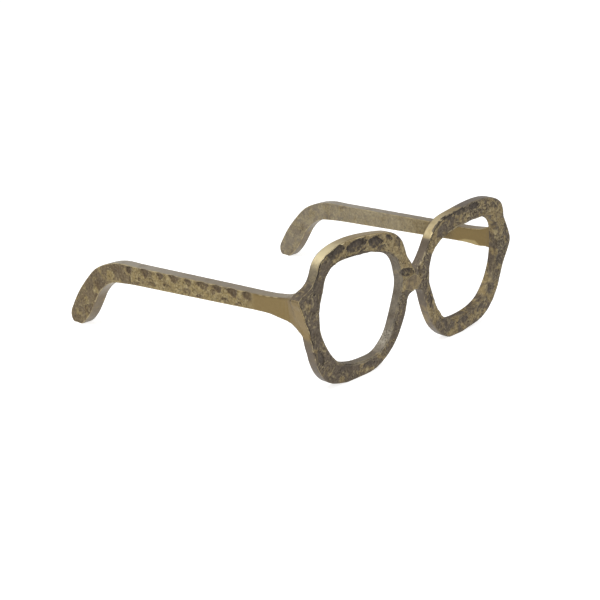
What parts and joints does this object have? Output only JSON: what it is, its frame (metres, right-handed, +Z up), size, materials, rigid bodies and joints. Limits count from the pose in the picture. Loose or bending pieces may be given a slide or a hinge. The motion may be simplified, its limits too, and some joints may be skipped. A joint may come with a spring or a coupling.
{
  "type": "eyeglasses sculpture",
  "caption": "Free-standing sculpture of an empty pair of spectacles in hammered cast metal, standing on its rims and hooked temples.",
  "frame": {"origin": "middle of the bounding box at its base: the plane z = 0 is the table under the rims and the hooks, x = 0 is the joint between the two rims, and y = 0 is halfway from the rims' front to the end of the longer temple", "axes": "+X from the left rim to the right rim as seen from the front, +Y from the rims back along the temples, +Z up"},
  "size_m": [0.2116, 0.2084, 0.086],
  "materials": {
    "hammered_front": "antique brass, hammered, dark patina in the dents and rubbed ridges",
    "hammered_temples": "antique brass, hammered outside and dressed smooth on the edges",
    "braze": "brazed and filed, lighter than the castings",
    "pins": "plain drawn rod, hidden"
  },
  "bodies": {
    "root": {"left_rim": "hammered_front", "right_rim": "hammered_front", "left_temple": "hammered_temples", "right_temple": "hammered_temples", "bridge_braze": "braze", "left_lug_braze": "braze", "right_lug_braze": "braze", "bridge_dowel": "pins", "left_lug_dowels": "pins", "right_lug_dowels": "pins"}
  },
  "joints": []
}
